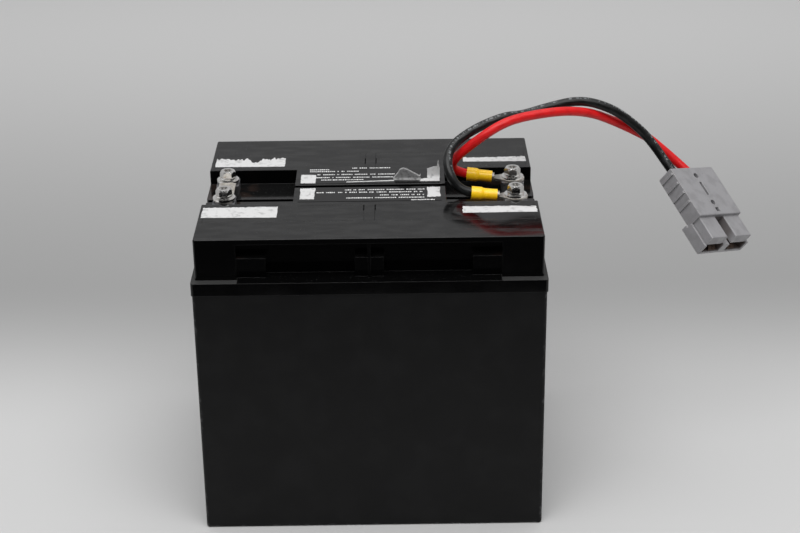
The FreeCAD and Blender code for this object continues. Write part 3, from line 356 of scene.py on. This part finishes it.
def torn_sheet(left, right, near, far, base, seed, rag, dip=(0.5, 0.1, 0)):
    """Underside and top of a torn sheet, as two grids. Along x it runs between two ends moved by a torn
    edge. Across y it is shared out between a near and a far line, each sloping from end to end and moved
    by a torn edge. The rag is how far the near line, the far line and the ends are moved. The far line
    sinks in a flat-bottomed dip with a middle, a half width and a depth. The top falls off toward all
    four edges."""
    along, across = 121, 15
    end_slope, side_slope, thinnest = 40, 8, 0.25
    u = np.linspace(0, 1, along)[:, None]
    v = np.linspace(0, 1, across)[None, :]
    ends = torn_edge(across, seed)[None, :] * rag[2]
    x = left + (right - left) * u + ends * (1 - 2 * u) ** 7
    low = near[0] + (near[1] - near[0]) * u + rag[0] * torn_edge(along, seed + 1)[:, None]
    high = far[0] + (far[1] - far[0]) * u + rag[1] * torn_edge(along, seed + 2)[:, None]
    high = high - dip[2] * np.exp(-(((u - dip[0]) / dip[1]) ** 4))
    y = low + (high - low) * v
    rim = np.minimum(np.minimum(u, 1 - u) * end_slope, np.minimum(v, 1 - v) * side_slope).clip(thinnest, 1)
    under = np.stack([x, y, np.full_like(y, base)], axis=-1)
    return under, under + paper_thickness * rim[..., None] * np.array((0, 0, 1))


def standing_sheet(ends, foot, heights, thickness, rim=None, proud=0.0):
    """Back and front of a sheet that lies flat at its foot and curls up to stand, as two grids. Across it
    follows a quarter circle and then a straight rise, to a height drawn through the points given. A rim is
    only the band from a little below that height to a little above it, set proud of the sheet."""
    bend = 1.6
    along, across = 81, 21
    u = np.linspace(0, 1, along)[:, None]
    v = np.linspace(0, 1, across)[None, :]
    tall = np.interp(u, *np.array(heights).T)
    rise = tall + (math.pi / 2 - 1) * bend
    run = rise * v if rim is None else rise - rim[0] + (rim[0] + rim[1]) * v
    angle = np.minimum(run / bend, math.pi / 2)
    y = foot[0] + (foot[1] - foot[0]) * u + bend * np.sin(angle)
    z = foot[2] + bend * (1 - np.cos(angle)) + np.maximum(run - bend * math.pi / 2, 0)
    x = np.broadcast_to(ends[0] + (ends[1] - ends[0]) * u, y.shape)
    back = np.stack([x, y, z], axis=-1)
    outward = np.stack([np.zeros_like(angle), -np.sin(angle), np.cos(angle)], axis=-1)
    return back + proud * outward, back + (proud + thickness) * outward


def closed_sheets(name, sheets):
    """One mesh of several closed sheets: the underside turned over, the top, and a wall round each rim."""
    points, faces, count = [], [], 0
    for under, top in sheets:
        rows, columns = under.shape[:2]
        low = count + np.arange(rows * columns).reshape(rows, columns)
        high = low + rows * columns
        for index, turned in ((low, -1), (high, 1)):
            quads = np.stack([index[:-1, :-1], index[1:, :-1], index[1:, 1:], index[:-1, 1:]], axis=-1)
            faces.append(quads.reshape(-1, 4)[:, ::turned])
        rims = [np.concatenate([i[:-1, 0], i[-1, :-1], i[:0:-1, -1], i[0, :0:-1]]) for i in (low, high)]
        faces.append(np.stack([rims[0], np.roll(rims[0], -1), np.roll(rims[1], -1), rims[1]], axis=-1))
        points += [under.reshape(-1, 3), top.reshape(-1, 3)]
        count += 2 * rows * columns
    return new_piece(name, np.concatenate(points), np.concatenate(faces))


front_paper = closed_sheets("front_torn_paper", [
    torn_sheet(-87.0, -48.0, (-43.2, -44.0), (-29.8, -28.9), lid_level, 11, (0.2, 0.7, 0.3)),
    torn_sheet(48.4, 87.2, (-40.6, -40.4), (-31.6, -32.4), lid_level, 21, (0.3, 0.9, 0.5)),
    torn_sheet(-37.2, -29.4, (-19.4, -19.6), (-3.9, -3.8), film_level, 31, (0.4, 0.5, 0.4)),
    torn_sheet(30.5, 37.6, (-18.4, -17.4), (-3.9, -3.6), film_level, 41, (0.8, 0.7, 0.5))])
rear_paper = closed_sheets("rear_torn_paper", [
    torn_sheet(-86.2, -47.6, (30.6, 30.3), (43.0, 43.0), lid_level, 57, (0.3, 3.6, 0.4),
               (0.57, 0.10, 4.8)),
    torn_sheet(51.4, 86.6, (34.6, 34.2), (41.0, 41.8), lid_level, 61, (0.3, 1.5, 0.6)),
    torn_sheet(-37.6, -29.6, (3.9, 3.7), (16.9, 16.0), film_level, 71, (0.4, 0.6, 0.4)),
    torn_sheet(27.0, 37.6, (5.0, 5.0), (8.6, 10.6), film_level, 81, (0.3, 0.7, 0.5)),
    torn_sheet(-13.0, 13.0, (4.6, 5.8), (5.4, 7.0), film_level, 91, (0.15, 0.25, 0.3)),
    standing_sheet((31.0, 37.8), (9.4, 9.2, film_level),
                   [(0, 5.0), (0.5, 6.2), (0.78, 6.4), (0.88, 10.4), (0.95, 6.6), (1, 5.4)],
                   paper_thickness)])
paper_white = (0.60, 0.60, 0.60, 1)
paper_grey = (0.36, 0.36, 0.36, 1)
paper, tree, shader = new_finish("label_paper")
fibre = either(tree, speckle(tree, 0.15 * mm, 2, (8, 1, 1)), speckle(tree, 0.15 * mm, 2, (1, 8, 1)))
soiled = fade(tree, speckle(tree, 2.5 * mm, 5), 0.50, 0.76)
finish(tree, shader, blend(tree, soiled, paper_white, paper_grey),
       varied(tree, fibre, 0.80, 1.0), relief(tree, fibre, 0.04 * mm))
for block, torn in (("front", front_paper), ("rear", rear_paper)):
    torn.data.materials.append(paper)
    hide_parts(block + "_label_remnants")

# Lifted film: beside the standing corner the film has been pulled up in a low peak, which shows its
# backing, grey with old adhesive. Its stretched edge is a white rim.
film_thickness = 0.15
rim_thickness = 0.06
rim_band = (0.02, 0.75)
rim_proud = 0.16
lifted_ends = (12.6, 27.4)
lifted_foot = (6.6, 6.0, film_level)
peak = [(0, 0.5), (0.17, 3.6), (0.25, 5.6), (0.37, 6.2), (0.52, 5.5), (0.69, 4.0), (0.86, 2.6),
        (0.95, 1.8), (1, 2.6)]
lifted = closed_sheets("rear_lifted_film", [
    standing_sheet(lifted_ends, lifted_foot, peak, film_thickness)])
backing_grey = (0.22, 0.22, 0.22, 1)
backing_dark = (0.10, 0.10, 0.10, 1)
backing, tree, shader = new_finish("film_backing")
smudge = fade(tree, speckle(tree, 1.6 * mm, 5), 0.40, 0.70)
finish(tree, shader, blend(tree, smudge, backing_grey, backing_dark), varied(tree, smudge, 0.45, 0.75),
       relief(tree, speckle(tree, 0.6 * mm, 3), 0.03 * mm))
lifted.data.materials.append(backing)
rim = closed_sheets("rear_film_rim", [
    standing_sheet(lifted_ends, lifted_foot, peak, rim_thickness, rim_band, rim_proud)])
rim.data.materials.append(paper)

# Bolts and washers: zinc-plated steel, cold headed or stamped, screwed into the terminals. The plating is
# bright with fine turning marks and has browned in patches.
steel_bright = (0.86, 0.85, 0.83, 1)
steel_brown = (0.40, 0.32, 0.24, 1)
plated_steel, tree, shader = new_finish("plated_steel")
shader.inputs["Metallic"].default_value = 1
marks = speckle(tree, 0.12 * mm, 2, (1, 1, 9))
browned = fade(tree, speckle(tree, 1.8 * mm, 5), 0.58, 0.80)
finish(tree, shader, blend(tree, browned, steel_bright, steel_brown),
       varied(tree, either(tree, browned, marks), 0.06, 0.28), relief(tree, marks, 0.010 * mm))
dress(plated_steel, "terminal_bolts", "flat_washers", "spring_washers")

# Series link and ring lugs: sheared and pressed copper, tinned in a dip and held under the bolts. The tin
# is satin, scratched by the washers and dull in patches, and the necks of the lugs are painted darker as
# painted shade.
tin_bright = (0.62, 0.60, 0.57, 1)
tin_dull = (0.42, 0.39, 0.35, 1)
tin_neck_shade = (0.30, 0.29, 0.27, 1)
neck_start_x = (60 * mm, 62 * mm)
neck_end_x = (72 * mm, 70 * mm)
tinned_copper, tree, shader = new_finish("tinned_copper")
shader.inputs["Metallic"].default_value = 1
x = axes(tree)[0]
# Painted shade: the lugs' necks, between x 60 and 72 mm, are coloured darker.
neck = both(tree, fade(tree, x, *neck_end_x), fade(tree, x, *neck_start_x))
dull = fade(tree, speckle(tree, 3 * mm, 5), 0.42, 0.68)
scratch = fade(tree, speckle(tree, 0.10 * mm, 2, (3, 20, 1)), 0.64, 0.74)
tin = blend(tree, dull, tin_bright, tin_dull)
finish(tree, shader, blend(tree, neck, tin, tin_neck_shade), varied(tree, dull, 0.46, 0.62),
       relief(tree, either(tree, speckle(tree, 1.2 * mm, 3), scratch), 0.02 * mm))
dress(tinned_copper, "series_link", "positive_ring_lug", "negative_ring_lug")

# Connector contacts and leaf springs: copper blades, and steel strips that press on them inside the
# housing. The blades are worn brown by plugging, and the springs take the same dark brown as painted shade
# inside the hood.
contact_worn = (0.13, 0.09, 0.07, 1)
contact_dark = (0.07, 0.05, 0.04, 1)
# Painted shade: the steel springs inside the hood are given the dark brown of the worn blades.
contact_wear_and_shade, tree, shader = new_finish("contact_wear_and_shade")
shader.inputs["Metallic"].default_value = 1
rubbed = fade(tree, speckle(tree, 0.5 * mm, 3, (1, 12, 1)), 0.40, 0.66)
finish(tree, shader, blend(tree, rubbed, contact_worn, contact_dark), varied(tree, rubbed, 0.34, 0.58),
       relief(tree, rubbed, 0.02 * mm))
dress(contact_wear_and_shade, "connector_positive_contact", "connector_negative_contact", "connector_springs")

# Lug sleeves: bright yellow vinyl, extruded, pushed over the barrels and crimped with them. The colour is
# painted deeper orange toward the underside as painted shade, and the crimp has left soft dents.
vinyl_yellow = (0.98, 0.60, 0.008, 1)
vinyl_shade_and_cloud = (0.85, 0.40, 0.006, 1)
underside_z = (166.2 * mm, 163.2 * mm)
cloud_share = 0.20
yellow_vinyl, tree, shader = new_finish("yellow_vinyl")
# Painted shade: the sleeves turn deeper orange toward their undersides; random clouds take the same tone.
underside = fade(tree, axes(tree)[2], *underside_z)
cloud = fade(tree, speckle(tree, 2.5 * mm, 3), 0.45, 0.75)
deep = either(tree, underside, both(tree, cloud, cloud_share))
finish(tree, shader, blend(tree, deep, vinyl_yellow, vinyl_shade_and_cloud), varied(tree, cloud, 0.24, 0.40),
       relief(tree, speckle(tree, 1.6 * mm, 2), 0.08 * mm))
dress(yellow_vinyl, "positive_lug_sleeve", "negative_lug_sleeve")

# Connector housing: grey polycarbonate in one moulding, with ribbed sides and a hood under the contacts.
# The skin is satin with flow clouds and specks of grime, and its edges are painted pale, a painted
# highlight with some wear. Painted shade darkens the inside of the hood and the gap between the tongues,
# which are found in the housing's own frame.
housing_grey = (0.270, 0.266, 0.276, 1)
housing_cloud = (0.230, 0.226, 0.234, 1)
housing_wear_and_highlight = (0.420, 0.412, 0.414, 1)
housing_grime = (0.120, 0.118, 0.115, 1)
hood_painted_shade = (0.084, 0.066, 0.060, 1)
housing_place = (174.6, 28.0, 159.8)
housing_turn = (35.4, 12.4, 39.3)
mouth_y = (-48.0 * mm, -46.8 * mm)
hood_back_y = (-33.0 * mm, -33.6 * mm)
cheek_x = (17.1 * mm, 16.95 * mm)
hood_floor_z = (-7.9 * mm, -7.75 * mm)
hood_roof_z = (-2.2 * mm, -2.6 * mm)
gap_x = (3.9 * mm, 3.65 * mm)
gap_top_z = (3.5 * mm, 2.6 * mm)
gap_back_y = (-32.6 * mm, -32.8 * mm)
gap_mouth_y = (-47.0 * mm, -41.0 * mm)
gap_shade_share = 0.6
edge_round = 0.5 * mm
grey_housing, tree, shader = new_finish("connector_grey")
spot = put(tree, "TexCoord", {}).outputs["Object"]
placed = {"Vector": spot, "Location": [c * mm for c in housing_place],
          "Rotation": [math.radians(a) for a in housing_turn]}
own_spot = put(tree, "Mapping", placed, vector_type="TEXTURE").outputs[0]
x, y, z = put(tree, "SeparateXYZ", {0: own_spot}).outputs
out_x = calc(tree, "ABSOLUTE", x)
# Painted shade: the inside of the hood, and at a smaller share the gap between the tongues, is coloured
# dark brown-grey.
inside = both(tree, fade(tree, y, *mouth_y), fade(tree, y, *hood_back_y))
inside = both(tree, inside, fade(tree, out_x, *cheek_x))
inside = both(tree, inside, both(tree, fade(tree, z, *hood_floor_z), fade(tree, z, *hood_roof_z)))
gap = both(tree, fade(tree, out_x, *gap_x), fade(tree, z, *gap_top_z))
gap = both(tree, gap, both(tree, fade(tree, y, *gap_back_y), fade(tree, y, *gap_mouth_y)))
painted_hood_shade = either(tree, inside, both(tree, gap, gap_shade_share))
flow = fade(tree, speckle(tree, 6 * mm, 5), 0.40, 0.68)
grime = fade(tree, speckle(tree, 1.3 * mm, 5), 0.66, 0.82)
rounded = put(tree, "Bevel", {"Radius": edge_round}).outputs["Normal"]
plain = put(tree, "NewGeometry", {}).outputs["True Normal"]
turned = put(tree, "VectorMath", {0: rounded, 1: plain}, operation="DOT_PRODUCT").outputs["Value"]
# Painted highlight with some wear: the rounded edges are coloured paler in patches.
edge = both(tree, fade(tree, turned, 0.985, 0.90), fade(tree, speckle(tree, 3 * mm, 4), 0.30, 0.60))
grey = blend(tree, edge, blend(tree, flow, housing_grey, housing_cloud), housing_wear_and_highlight)
grey = blend(tree, grime, grey, housing_grime)
finish(tree, shader, blend(tree, painted_hood_shade, grey, hood_painted_shade), varied(tree, flow, 0.34, 0.52),
       relief(tree, speckle(tree, 0.35 * mm, 2), 0.020 * mm, edge_round))
dress(grey_housing, "connector_housing")

# Cables: fine-stranded copper in soft red and black rubber jackets, crimped in the lugs at one end and in
# the contacts at the other. They are stiff enough to loop over the lids and hold the connector in the air.
cable_diameter = 5.0
strand_lead = 9 * mm
strand_pitch = 1.309 * mm
mark_line = 2.6 * mm
red_route = [
    (57.35, 15.37, 165.51), (47.44, 16.41, 166.38), (42.5, 8, 175.5), (60, 4, 191.5), (72.5, 8, 198),
    (85, 14, 199.5), (105, 20.5, 200), (121, 30, 195.5), (134.5, 36, 188.5), (149.5, 38, 180.5),
    (156.5, 39, 176), (177.01, 32.98, 158.88), (184.85, 25.85, 152.42)]
black_route = [
    (58.54, -12.92, 165.51), (48.58, -12.75, 166.38), (41.5, -10, 176.5), (42, 2.5, 185.5),
    (55, 10.5, 193), (72.5, 16.5, 198.5), (83, 22.5, 197), (96.5, 27.5, 199.5), (115, 31.5, 202.5),
    (131.5, 31, 198), (144, 32.5, 189), (154.5, 32, 179), (166.35, 23.36, 163.04),
    (172.75, 15.96, 155.86)]


def smooth_line(name, route):
    """Points along the quadratic spline that has the route's points as its control points."""
    curve = bpy.data.curves.new(name, "CURVE")
    curve.dimensions = "3D"
    spline = curve.splines.new("NURBS")
    spline.points.add(len(route) - 1)
    for point, at in zip(spline.points, route):
        point.co = (*at, 1)
    spline.order_u = 3
    spline.use_endpoint_u = True
    spline.resolution_u = 16
    carrier = bpy.data.objects.new(name, curve)
    line = bpy.data.meshes.new_from_object(carrier)
    points = np.array([v.co for v in line.vertices])
    bpy.data.objects.remove(carrier)
    bpy.data.curves.remove(curve)
    bpy.data.meshes.remove(line)
    return points


def jacket_tube(name, line, radius):
    """Round profile carried along a line and closed at both ends: at each point a circle in the plane of
    two directions square to the line. The map holds the distances along and around, in metres."""
    sides = 28
    ahead = np.gradient(line, axis=0)
    ahead /= np.linalg.norm(ahead, axis=1, keepdims=True)
    right = np.cross(ahead, (0, 0.2, 1))
    right /= np.linalg.norm(right, axis=1, keepdims=True)
    up = np.cross(right, ahead)
    turn = np.arange(sides) * 2 * np.pi / sides
    ring = np.cos(turn)[:, None] * right[:, None, :] + np.sin(turn)[:, None] * up[:, None, :]
    index = np.arange(len(line) * sides).reshape(len(line), sides)
    wrapped = np.concatenate([index, index[:, :1]], axis=1)
    quads = np.stack([wrapped[:-1, :-1], wrapped[:-1, 1:], wrapped[1:, 1:], wrapped[1:, :-1]], axis=-1)
    walls = quads.reshape(-1, 4)
    faces = walls.tolist() + [index[0, ::-1].tolist(), index[-1].tolist()]
    mesh = bpy.data.meshes.new(name)
    mesh.from_pydata(((line[:, None, :] + radius * ring) * mm).reshape(-1, 3).tolist(), [], faces)
    mesh.polygons.foreach_set("use_smooth", [True] * len(walls) + [False, False])
    run = np.concatenate([[0], np.cumsum(np.linalg.norm(np.diff(line, axis=0), axis=1))])
    around = np.arange(sides + 1) * 2 * np.pi * radius / sides
    way = np.stack(np.broadcast_arrays(run[:, None], around), axis=-1)
    corners = np.stack([way[:-1, :-1], way[:-1, 1:], way[1:, 1:], way[1:, :-1]], axis=-2).reshape(-1, 2)
    caps = np.repeat([way[0, 0], way[-1, 0]], sides, axis=0)
    layer = mesh.uv_layers.new(name="lay")
    layer.uv.foreach_set("vector", (np.concatenate([corners, caps]) * mm).astype(np.float32).ravel())
    made = bpy.data.objects.new(name, mesh)
    bpy.context.scene.collection.objects.link(made)
    return made


def jacket_finish(name, colour, worn, marks, wear):
    """Rubber jacket: strand ridges wound along the cable, clouds of wear, and plain specks in a line, each
    with its share."""
    material, tree, shader = new_finish(name)
    lay = put(tree, "UVMap", {}, uv_map="lay").outputs[0]
    run, around, _ = put(tree, "SeparateXYZ", {0: lay}).outputs
    wind = calc(tree, "MULTIPLY_ADD", run, 1 / strand_lead, calc(tree, "DIVIDE", around, strand_pitch))
    ridge = calc(tree, "SINE", calc(tree, "MULTIPLY", wind, 2 * math.pi))
    rough = speckle(tree, 0.6 * mm, 3)
    skin = calc(tree, "MULTIPLY_ADD", ridge, 0.22, rough)
    off_line = calc(tree, "ABSOLUTE", calc(tree, "SUBTRACT", around, mark_line))
    line = fade(tree, off_line, 0.75 * mm, 0.45 * mm)
    mark = both(tree, line, fade(tree, speckle(tree, 0.9 * mm, 1, (1, 4, 1), lay), 0.50, 0.60))
    cloud = both(tree, fade(tree, speckle(tree, 5 * mm, 4), 0.42, 0.72), wear)
    share = either(tree, both(tree, mark, marks), cloud)
    shader.inputs["Specular IOR Level"].default_value = 0.31
    finish(tree, shader, blend(tree, share, colour, worn), varied(tree, rough, 0.22, 0.46),
           relief(tree, skin, 0.07 * mm))
    return material


jacket_red = (0.66, 0.008, 0.010, 1)
jacket_red_worn = (0.46, 0.005, 0.007, 1)
jacket_black = (0.0050, 0.0052, 0.0052, 1)
jacket_black_worn = (0.170, 0.180, 0.185, 1)
red = jacket_finish("red_jacket", jacket_red, jacket_red_worn, 0.0, 0.6)
black = jacket_finish("black_jacket", jacket_black, jacket_black_worn, 1.0, 0.06)
for colour, route, jacket, mouth, length in (
        ("red", red_route, red, (52.79, 15.85, 165.91), 194.0),
        ("black", black_route, black, (53.96, -12.84, 165.91), 197.9)):
    line = smooth_line(colour + "_route", route)
    cable = jacket_tube(colour + "_cable_jacket", line, cable_diameter / 2)
    cable.data.materials.append(jacket)
    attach(cable, "root")
    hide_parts(colour + "_cable")

# Stage: a pale sheet of paper on the table, which ends a little way in front of the pack. A grey band
# behind the pack is painted shade, and farther back the sheet is painted paler as painted light.
floor_front = -0.36
floor_reach = 3
floor_near = (0.57, 0.57, 0.57, 1)
floor_painted_shade = (0.31, 0.31, 0.31, 1)
floor_far_painted_light = (0.67, 0.67, 0.67, 1)
middle_y = (0.02, 0.25)
far_y = (0.14, 1.00)
floor = bpy.data.meshes.new("floor")
floor.from_pydata([(-floor_reach, floor_front, 0), (floor_reach, floor_front, 0),
                   (floor_reach, floor_reach, 0), (-floor_reach, floor_reach, 0)], [], [(0, 1, 2, 3)])
ground = bpy.data.objects.new("floor", floor)
bpy.context.scene.collection.objects.link(ground)
pale, tree, shader = new_finish("pale_floor")
y = axes(tree)[1]
# Painted shade and light: greyer in a band behind the pack, paler farther back.
sheet = blend(tree, fade(tree, y, *middle_y), floor_near, floor_painted_shade)
feed(tree, shader.inputs["Base Color"], blend(tree, fade(tree, y, *far_y), sheet, floor_far_painted_light))
shader.inputs["Roughness"].default_value = 0.8
ground.data.materials.append(pale)

# Surroundings and lamps: a pale room, brighter with height and as pale as the sheet below the horizon. In
# reflections the part of it in front is dark. Two wide soft lamps hang over the pack and in front of it.
room = (0.035, 0.035, 0.036, 1)
surround_low = (0.40, 0.40, 0.405, 1)
surround_high = (0.66, 0.66, 0.665, 1)
surround_floor = (0.62, 0.62, 0.62, 1)
ambient = (0.38, 0.38, 0.38, 1)
brighter_z = (0.30, 0.55)
horizon_z = (0.15, -0.05)
lamp_target = Vector((0, 0, 0.15))
world = bpy.data.worlds.new("studio")
bpy.context.scene.world = world
world.use_nodes = True
tree = world.node_tree
toward = put(tree, "TexCoord", {}).outputs["Generated"]
_, y, z = put(tree, "SeparateXYZ", {0: toward}).outputs
behind = fade(tree, calc(tree, "MULTIPLY_ADD", z, 0.9, y), -0.20, 0.40)
ways = put(tree, "LightPath", {}).outputs
mirrored = either(tree, ways["Is Glossy Ray"], ways["Is Transmission Ray"])
surround = blend(tree, fade(tree, z, *brighter_z), surround_low, surround_high)
seen = blend(tree, either(tree, ways["Is Camera Ray"], behind), room, surround)
below = both(tree, ways["Is Camera Ray"], fade(tree, z, *horizon_z))
seen = blend(tree, below, seen, surround_floor)
shown = either(tree, ways["Is Camera Ray"], mirrored)
feed(tree, tree.nodes["Background"].inputs["Color"], blend(tree, shown, ambient, seen))

for name, place, wide, deep, watts in (("top_lamp", (-0.1, 0.1, 1.5), 1.6, 1.2, 9),
                                       ("key_lamp", (0.05, -0.7, 1.5), 1.7, 1.0, 17)):
    lamp = bpy.data.lights.new(name, "AREA")
    lamp.shape = "RECTANGLE"
    lamp.size = wide
    lamp.size_y = deep
    lamp.energy = watts
    light = bpy.data.objects.new(name, lamp)
    light.location = place
    light.rotation_euler = (Vector(place) - lamp_target).to_track_quat("Z", "Y").to_euler()
    bpy.context.scene.collection.objects.link(light)

# Camera: a long lens a little above the pack, square to its long side. Its place, turn and shift were
# fitted to the corners of the front block.
picture_width = 800
camera_place = (14.363 * mm, -882.008 * mm, 509.827 * mm)
camera_yaw, camera_pitch, camera_roll = (math.radians(a) for a in (0.2894, 24.2511, -0.6206))
camera = bpy.data.cameras.new("camera")
camera.sensor_width = 36
camera.lens = 78.96
camera.shift_x = -5.969 / picture_width
camera.shift_y = 8.960 / picture_width
viewer = bpy.data.objects.new("camera", camera)
turn = Matrix.Rotation(-camera_yaw, 4, "Z") @ Matrix.Rotation(math.pi / 2 - camera_pitch, 4, "X")
viewer.matrix_world = Matrix.Translation(camera_place) @ turn @ Matrix.Rotation(camera_roll, 4, "Z")
bpy.context.scene.collection.objects.link(viewer)
bpy.context.scene.camera = viewer
bpy.context.scene.view_settings.view_transform = "Standard"
